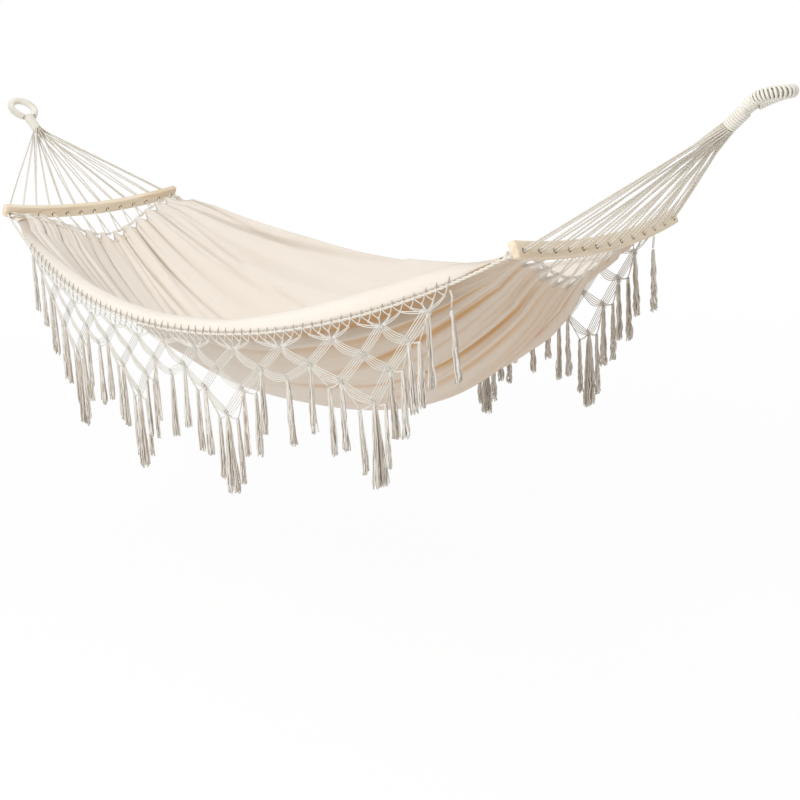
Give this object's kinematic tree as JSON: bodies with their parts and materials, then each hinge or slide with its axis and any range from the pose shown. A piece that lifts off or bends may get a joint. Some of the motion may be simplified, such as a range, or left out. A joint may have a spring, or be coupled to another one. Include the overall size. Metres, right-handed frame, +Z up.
{
  "type": "spreader bar hammock",
  "caption": "Cotton bed hammock with bowed wooden spreader bars, cord fans to wrapped hanging loops, and a knotted tassel fringe along both sides.",
  "frame": {"origin": "where the inner far end of the left loop bears on its hook, on the hammock's middle plane", "axes": "+X from the left loop to the right loop, +Y from the front fringe to the back fringe, +Z up"},
  "size_m": [2.7536, 0.9822, 1.0097],
  "materials": {
    "pine": "clear satin varnish on pale pine",
    "canvas": "matt woven natural cotton",
    "cotton_cord": "matt twisted natural cotton",
    "winding_cotton": "matt wound natural cotton",
    "fringe_cotton": "matt knotted natural cotton"
  },
  "bodies": {
    "loops": {"left_neck_whipping": "winding_cotton", "left_loop_rope": "cotton_cord", "left_loop_winding": "winding_cotton", "right_neck_whipping": "winding_cotton", "right_loop_rope": "cotton_cord", "right_loop_winding": "winding_cotton"},
    "bed": {"bed_cloth": "canvas", "left_gather_cord": "cotton_cord", "right_gather_cord": "cotton_cord", "front_edge_rope": "cotton_cord", "back_edge_rope": "cotton_cord", "left_suspension_cord_01": "cotton_cord", "left_suspension_cord_02": "cotton_cord", "left_suspension_cord_03": "cotton_cord", "left_suspension_cord_04": "cotton_cord", "left_suspension_cord_05": "cotton_cord", "left_suspension_cord_06": "cotton_cord", "left_suspension_cord_07": "cotton_cord", "left_suspension_cord_08": "cotton_cord", "left_suspension_cord_09": "cotton_cord", "left_suspension_cord_10": "cotton_cord", "left_suspension_cord_11": "cotton_cord", "left_suspension_cord_12": "cotton_cord", "left_suspension_cord_13": "cotton_cord", "right_suspension_cord_01": "cotton_cord", "right_suspension_cord_02": "cotton_cord", "right_suspension_cord_03": "cotton_cord", "right_suspension_cord_04": "cotton_cord", "right_suspension_cord_05": "cotton_cord", "right_suspension_cord_06": "cotton_cord", "right_suspension_cord_07": "cotton_cord", "right_suspension_cord_08": "cotton_cord", "right_suspension_cord_09": "cotton_cord", "right_suspension_cord_10": "cotton_cord", "right_suspension_cord_11": "cotton_cord", "right_suspension_cord_12": "cotton_cord", "right_suspension_cord_13": "cotton_cord"},
    "left_bar": {"left_spreader_bar": "pine"},
    "right_bar": {"right_spreader_bar": "pine"},
    "front_fringe": {"front_fringe": "fringe_cotton"},
    "back_fringe": {"back_fringe": "fringe_cotton"}
  },
  "joints": [
    {"name": "side_swing", "type": "hinge", "parent": "loops", "child": "bed", "pos_m": [1.3456, 0, -0.0826], "axis": [1, 0, 0], "range_deg": [-30, 30]},
    {"name": "left_bar_roll", "type": "hinge", "parent": "bed", "child": "left_bar", "pos_m": [0.3856, 0, -0.3256], "axis": [0, 1, 0], "range_deg": [-3.5, 3.5]},
    {"name": "right_bar_roll", "type": "hinge", "parent": "bed", "child": "right_bar", "pos_m": [2.3056, 0, -0.3256], "axis": [0, 1, 0], "range_deg": [-3.5, 3.5]},
    {"name": "front_fringe_swing", "type": "hinge", "parent": "bed", "child": "front_fringe", "pos_m": [1.3456, -0.446, -0.5591], "axis": [-1, 0, 0], "range_deg": [-12, 25], "deforming": ["front_fringe"]},
    {"name": "back_fringe_swing", "type": "hinge", "parent": "bed", "child": "back_fringe", "pos_m": [1.3456, 0.444, -0.5591], "axis": [1, 0, 0], "range_deg": [-12, 25], "deforming": ["back_fringe"]}
  ]
}
